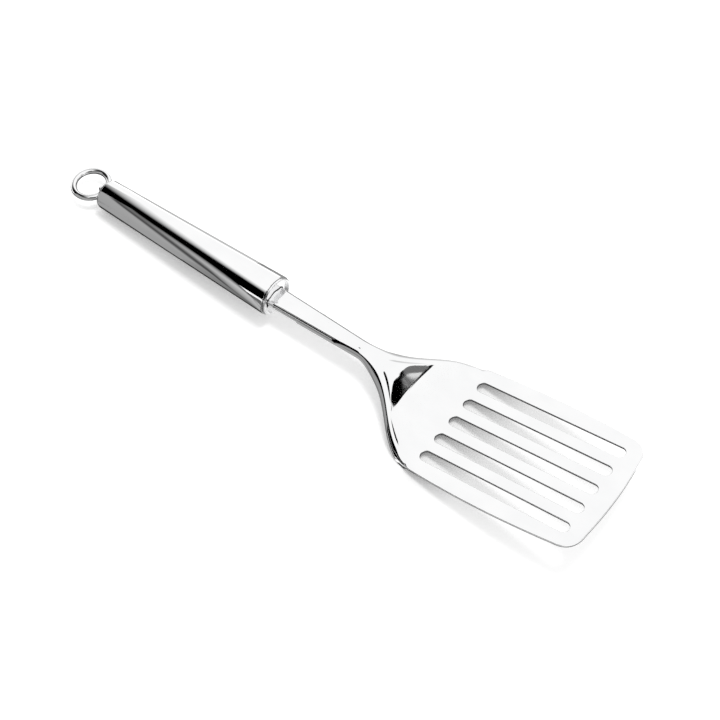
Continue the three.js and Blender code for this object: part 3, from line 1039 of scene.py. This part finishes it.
def step_card(name, nearer, level, *lines):
    """A card across the line of sight. Each line runs over it at a height: its height and its two ends."""
    middle = STEP_MIDDLE + STEP_VIEW * (STEP_CARD_AWAY - nearer)
    rows = []
    for w, *ends in lines:
        rows.append([(middle + step_u * u + step_w * w, level, 1.0) for u in ends])
    card(name, rows)


step_card(
    "card_step_black", 0, 0,
    (-45, -75, 60), (-12, -75, 60), (-8, -75, -6), (-2, -75, -10),
    (12, -75, -14), (40, -75, -15), (60, -75, -19), (150, -75, -28),
)
step_card("card_step_foot", 0, 0, (-12, -5, 30), (10, 4, 33), (28, 12, 36))
step_card(
    "card_step_grey", 1, STEP_GREY,
    (-45, -7, 60), (-24, -6.5, 60), (-19, -3.5, 70), (-16, 1.5, 80),
    (-13, 10, 100), (-2, 13, 120), (4, 25, 130), (16, 50, 130),
)
step_card(
    "card_step_light", 2, STEP_PALE,
    (-45, -14.5, 12), (-38, -13.7, 10), (-33, -12, 8),
    (-28, -9.8, 6), (-26, -8.8, 4), (-24, -8, -5),
)

# Floor: white and lit, with glow of its own for the camera and reflections; its whiteness and glow along x
# paint its shade, darker next to the handle and the blade's shoulder, paler under the blade and round the
# ring
rows = []
for y in (-FLOOR_HALF, FLOOR_HALF):
    rows.append([(Vector((x, y, 0)), glow, white) for x, white, glow in FLOOR_SHADE_ALONG])
floor = graded("floor", rows)
pale = bpy.data.materials.new("floor_white")
pale.use_nodes = True
pale_tree = pale.node_tree
pale_shader = pale_tree.nodes["Principled BSDF"]
pale_shader.inputs["Roughness"].default_value = FLOOR_ROUGHNESS
pale_shader.inputs["Specular IOR Level"].default_value = 0
pale_shader.inputs["Emission Color"].default_value = (1, 1, 1, 1)
floor_white = add_node(pale_tree, "ShaderNodeAttribute", attribute_name="veil")
floor_glow = add_node(pale_tree, "ShaderNodeAttribute", attribute_name="glow")
floor_lift = add_node(pale_tree, "ShaderNodeMath", operation="MULTIPLY")
pale_tree.links.new(floor_white.outputs["Fac"], pale_shader.inputs["Base Color"])
pale_tree.links.new(is_seen(pale_tree), floor_lift.inputs[0])
pale_tree.links.new(floor_glow.outputs["Fac"], floor_lift.inputs[1])
pale_tree.links.new(floor_lift.outputs[0], pale_shader.inputs["Emission Strength"])
floor.data.materials.append(pale)

# Key lamp and world
lamp = bpy.data.lights.new("key", "AREA")
lamp.shape = "DISK"
lamp.size = KEY_SIZE * MM
lamp.energy = KEY_POWER
key = bpy.data.objects.new("key", lamp)
bpy.context.scene.collection.objects.link(key)
key.location = KEY_AT * MM
key.rotation_euler = (KEY_AIM - KEY_AT).to_track_quat("-Z", "Y").to_euler()
key.visible_glossy = False

world = bpy.data.worlds.new("studio")
bpy.context.scene.world = world
world.use_nodes = True
sky = world.node_tree
# A mix of two numbers: input 0 is its share, 2 and 3 are the numbers
strength = sky.nodes.new("ShaderNodeMix")
strength.inputs[2].default_value = AMBIENT
strength.inputs[3].default_value = 1
sky.links.new(is_seen(sky), strength.inputs[0])
sky.nodes["Background"].inputs["Color"].default_value = (1, 1, 1, 1)
sky.links.new(strength.outputs[0], sky.nodes["Background"].inputs["Strength"])

# Camera
camera = bpy.data.cameras.new("camera")
camera.lens = CAMERA_LENS
camera.sensor_width = CAMERA_SENSOR
camera.clip_end = CAMERA_CLIP
viewer = bpy.data.objects.new("camera", camera)
bpy.context.scene.collection.objects.link(viewer)
viewer.location = CAMERA_AT * MM
viewer.rotation_euler = (CAMERA_AIM - CAMERA_AT).to_track_quat("-Z", "Y").to_euler()
bpy.context.scene.camera = viewer
bpy.context.scene.view_settings.view_transform = "Standard"
